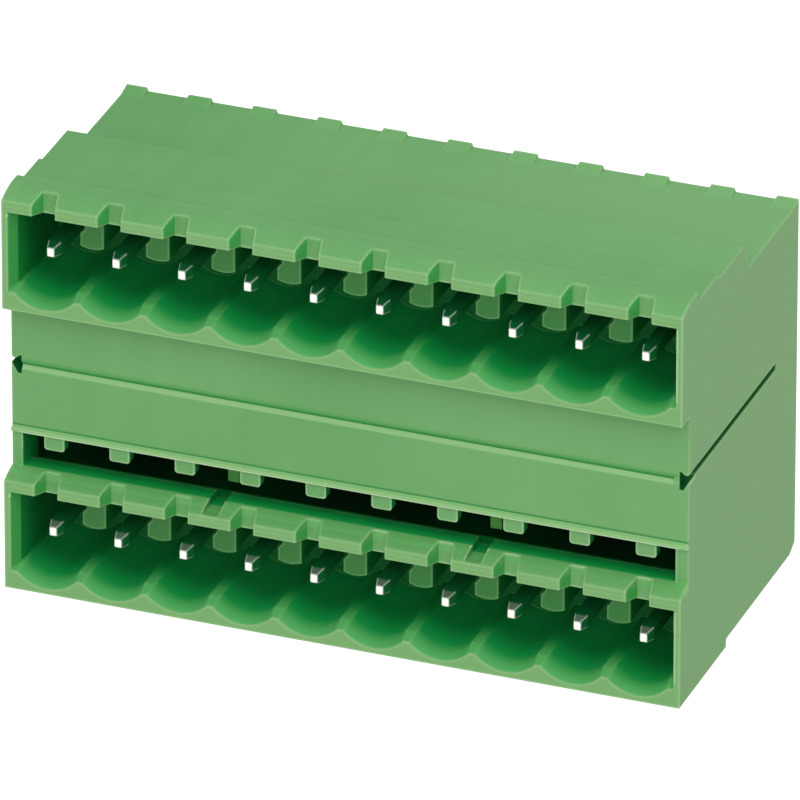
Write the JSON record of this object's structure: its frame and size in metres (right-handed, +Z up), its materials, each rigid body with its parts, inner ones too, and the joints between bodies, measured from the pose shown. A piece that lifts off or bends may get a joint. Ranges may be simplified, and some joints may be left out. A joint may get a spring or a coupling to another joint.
{
  "type": "two-level pluggable terminal block header",
  "caption": "Rectangular board header with two stacked, scalloped plug mouths, a slotted recess between them, and rows of square contacts bent down to solder legs behind.",
  "frame": {"origin": "middle of the front foot's underside, on the board face", "axes": "+X along the rows of contacts, to the right seen from the plug side; +Y from the plug mouths to the rear; +Z up from the board"},
  "size_m": [0.0522, 0.0249, 0.0361],
  "materials": {
    "housing": "fine satin moulded polyamide",
    "contact": "bright tin plating"
  },
  "bodies": {
    "root": {"housing": "housing", "lower_contact_1": "contact", "lower_contact_2": "contact", "lower_contact_3": "contact", "lower_contact_4": "contact", "lower_contact_5": "contact", "lower_contact_6": "contact", "lower_contact_7": "contact", "lower_contact_8": "contact", "lower_contact_9": "contact", "lower_contact_10": "contact", "upper_contact_1": "contact", "upper_contact_2": "contact", "upper_contact_3": "contact", "upper_contact_4": "contact", "upper_contact_5": "contact", "upper_contact_6": "contact", "upper_contact_7": "contact", "upper_contact_8": "contact", "upper_contact_9": "contact", "upper_contact_10": "contact"}
  },
  "joints": []
}
